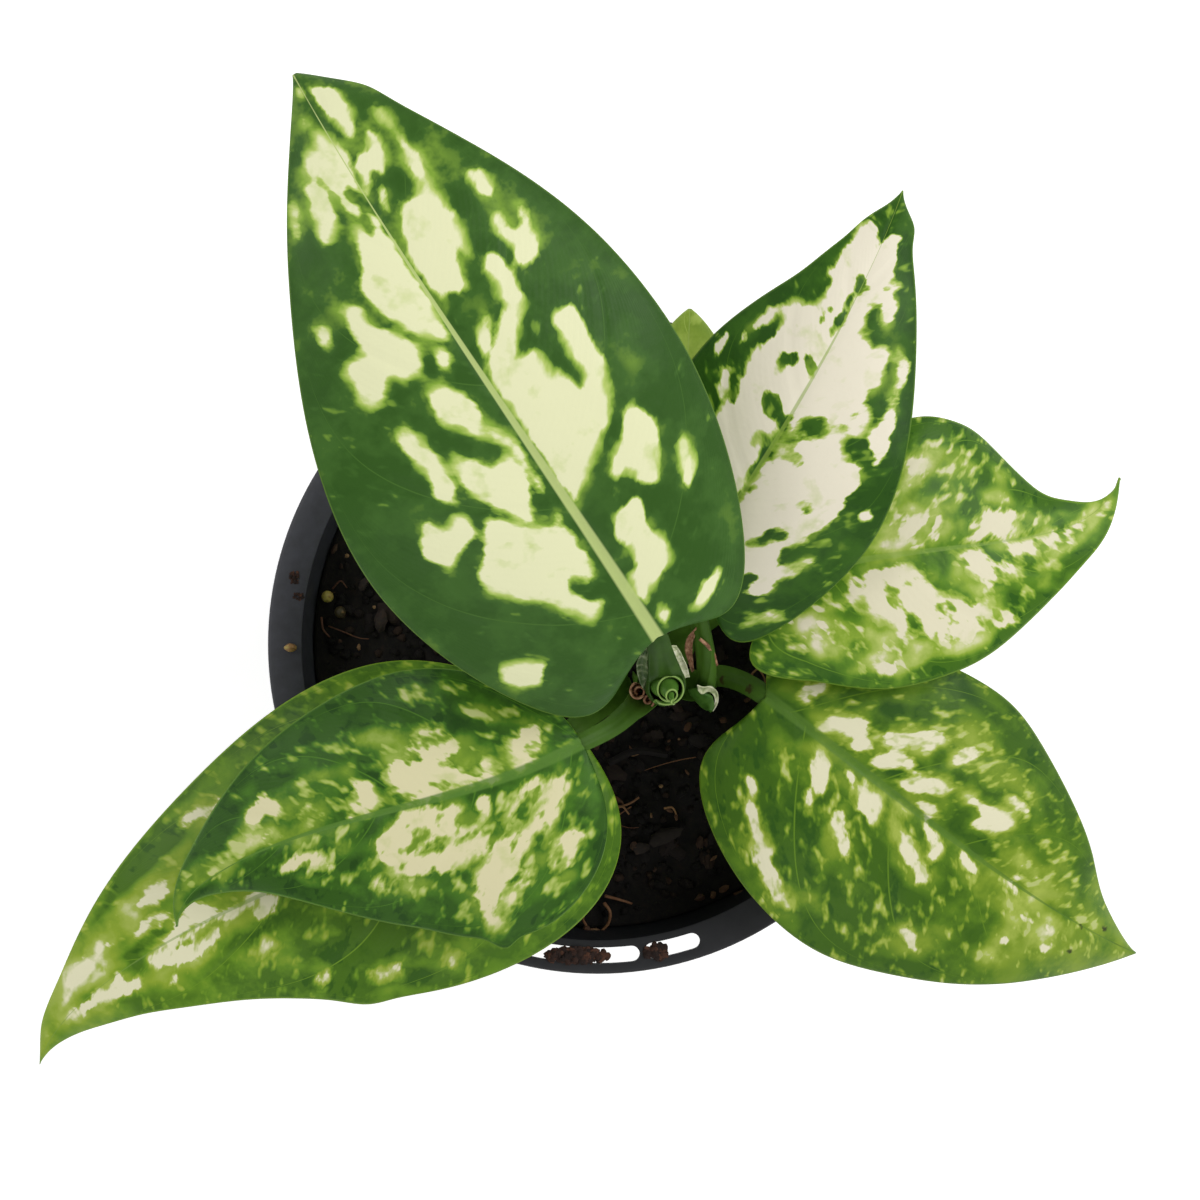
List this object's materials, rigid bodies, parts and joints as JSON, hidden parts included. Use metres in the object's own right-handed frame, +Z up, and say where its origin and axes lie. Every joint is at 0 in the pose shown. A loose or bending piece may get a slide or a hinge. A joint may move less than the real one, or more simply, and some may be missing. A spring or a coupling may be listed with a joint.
{
  "type": "potted chinese evergreen",
  "caption": "Young Chinese evergreen with cream-splashed green leaves, a rolled new leaf and clasping stalks, growing in potting mix in a black plastic nursery pot with a slotted rim.",
  "frame": {"origin": "centre of the pot's underside, on the surface it stands on", "axes": "+Z up along the pot's axis; -Y is the side with the rim slots that show at the bottom of the picture, +X its right"},
  "size_m": [0.2564, 0.2123, 0.2055],
  "materials": {
    "pot_plastic": "moulded black polypropylene, satin",
    "potting_mix": "damp peat, fibre and composted bark, rough",
    "green_stem": "smooth living stem, waxy",
    "leaf": "waxy leaf, green splashed with cream, satin",
    "fertiliser_grain": "coated fertiliser grain, satin",
    "bark": "dry twig and bark, rough"
  },
  "bodies": {
    "root": {"pot": "pot_plastic", "soil": "potting_mix", "cane": "green_stem", "rolled_leaf": "green_stem", "leaf_1": "leaf", "leaf_2": "leaf", "leaf_3": "leaf", "leaf_4": "leaf", "leaf_5": "leaf", "leaf_6": "leaf", "leaf_7": "leaf", "grain_1": "fertiliser_grain", "grain_2": "fertiliser_grain", "grain_3": "fertiliser_grain", "twig": "bark"}
  },
  "joints": []
}
